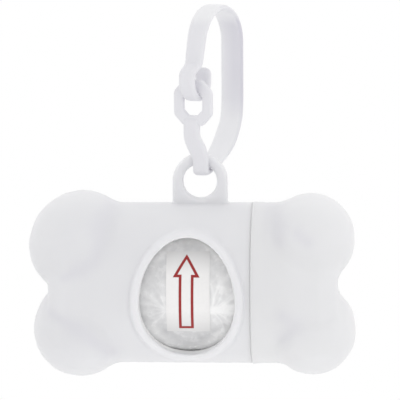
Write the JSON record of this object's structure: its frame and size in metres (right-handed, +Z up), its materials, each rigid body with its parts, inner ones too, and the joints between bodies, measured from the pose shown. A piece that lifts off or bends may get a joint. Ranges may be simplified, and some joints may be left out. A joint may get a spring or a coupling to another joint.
{
  "type": "dog waste bag dispenser",
  "caption": "Bone-shaped barrel that holds a roll of waste bags behind an egg-shaped window, with a pull-off end cap and a flexible strap clip for a lead.",
  "frame": {"origin": "centre of the strap's top bend, where the strap hangs over a lead or belt loop", "axes": "+X along the barrel towards the end cap, -Y out of the window, +Z up from the barrel to the strap"},
  "size_m": [0.0814, 0.0413, 0.0918],
  "materials": {
    "shell_plastic": "satin moulded white plastic",
    "cap_plastic": "satin moulded white plastic",
    "strap_plastic": "soft flexible white plastic",
    "core_card": "raw grey-brown wound card",
    "bag_film": "thin translucent film, wound",
    "outer_film": "thin translucent film with gathered creases",
    "label_paper": "smooth white paper with a red arrow outline"
  },
  "bodies": {
    "strap": {"strap_clip": "strap_plastic"},
    "barrel": {"body_shell": "shell_plastic"},
    "cap": {"end_cap": "cap_plastic"},
    "roll": {"roll_core": "core_card", "bag_roll": "bag_film", "first_bag": "outer_film", "roll_label": "label_paper"}
  },
  "joints": [
    {"name": "lug_swing", "type": "hinge", "parent": "strap", "child": "barrel", "pos_m": [-0.00325, -0.00766, -0.0329], "axis": [0, 1, 0], "range_deg": [-60, 60]},
    {"name": "cap_pull", "type": "slide", "parent": "barrel", "child": "cap", "axis": [1, 0, 0], "range_m": [0, 0.025]},
    {"name": "roll_spin", "type": "hinge", "parent": "barrel", "child": "roll", "pos_m": [-0.00525, -0.00766, -0.05905], "axis": [1, 0, 0], "continuous": true}
  ]
}
